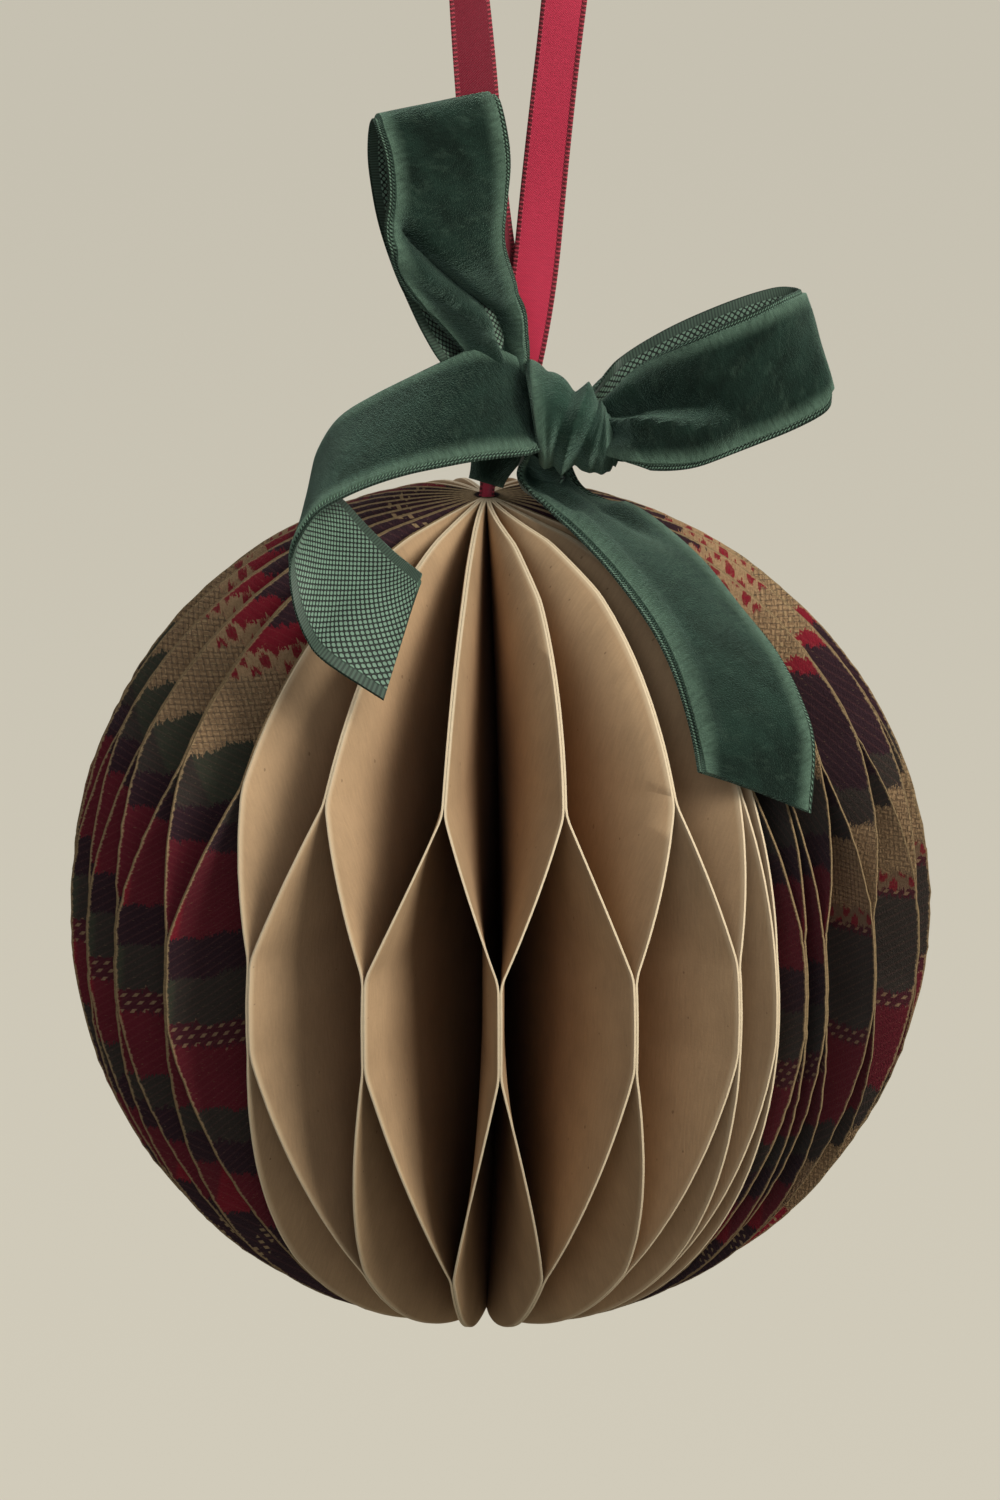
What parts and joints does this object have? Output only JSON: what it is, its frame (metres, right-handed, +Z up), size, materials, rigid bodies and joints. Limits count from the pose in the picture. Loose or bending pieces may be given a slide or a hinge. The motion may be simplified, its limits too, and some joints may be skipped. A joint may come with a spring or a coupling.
{
  "type": "honeycomb paper ball ornament",
  "caption": "Honeycomb ball of folded kraft and tartan-printed card sheets, hung on a red satin ribbon loop with a green velvet ribbon bow.",
  "frame": {"origin": "the hanging point, under the top of the ribbon loop", "axes": "+Z up along the hanging direction, -Y towards the side with the bow, +X to that side's right"},
  "size_m": [0.1192, 0.1194, 0.2169],
  "materials": {
    "kraft_card": "matte brown kraft card with pale cut edges",
    "plaid_card": "matte card with a printed tartan check and pale fuzzy cut edges",
    "velvet_ribbon": "dark green cut pile with a woven back and light selvedges",
    "satin_ribbon": "glossy dark red satin"
  },
  "bodies": {
    "root": {"kraft_sheet_04": "kraft_card", "kraft_sheet_05": "kraft_card", "kraft_sheet_06": "kraft_card", "kraft_sheet_07": "kraft_card", "kraft_sheet_08": "kraft_card", "kraft_sheet_09": "kraft_card", "kraft_sheet_19": "kraft_card", "kraft_sheet_20": "kraft_card", "kraft_sheet_21": "kraft_card", "kraft_sheet_22": "kraft_card", "kraft_sheet_23": "kraft_card", "kraft_sheet_24": "kraft_card", "plaid_sheet_01": "plaid_card", "plaid_sheet_02": "plaid_card", "plaid_sheet_03": "plaid_card", "plaid_sheet_10": "plaid_card", "plaid_sheet_11": "plaid_card", "plaid_sheet_12": "plaid_card", "plaid_sheet_13": "plaid_card", "plaid_sheet_14": "plaid_card", "plaid_sheet_15": "plaid_card", "plaid_sheet_16": "plaid_card", "plaid_sheet_17": "plaid_card", "plaid_sheet_18": "plaid_card", "plaid_sheet_25": "plaid_card", "plaid_sheet_26": "plaid_card", "plaid_sheet_27": "plaid_card", "plaid_sheet_28": "plaid_card", "plaid_sheet_29": "plaid_card", "plaid_sheet_30": "plaid_card", "satin_hanger": "satin_ribbon", "velvet_bow": "velvet_ribbon"}
  },
  "joints": []
}
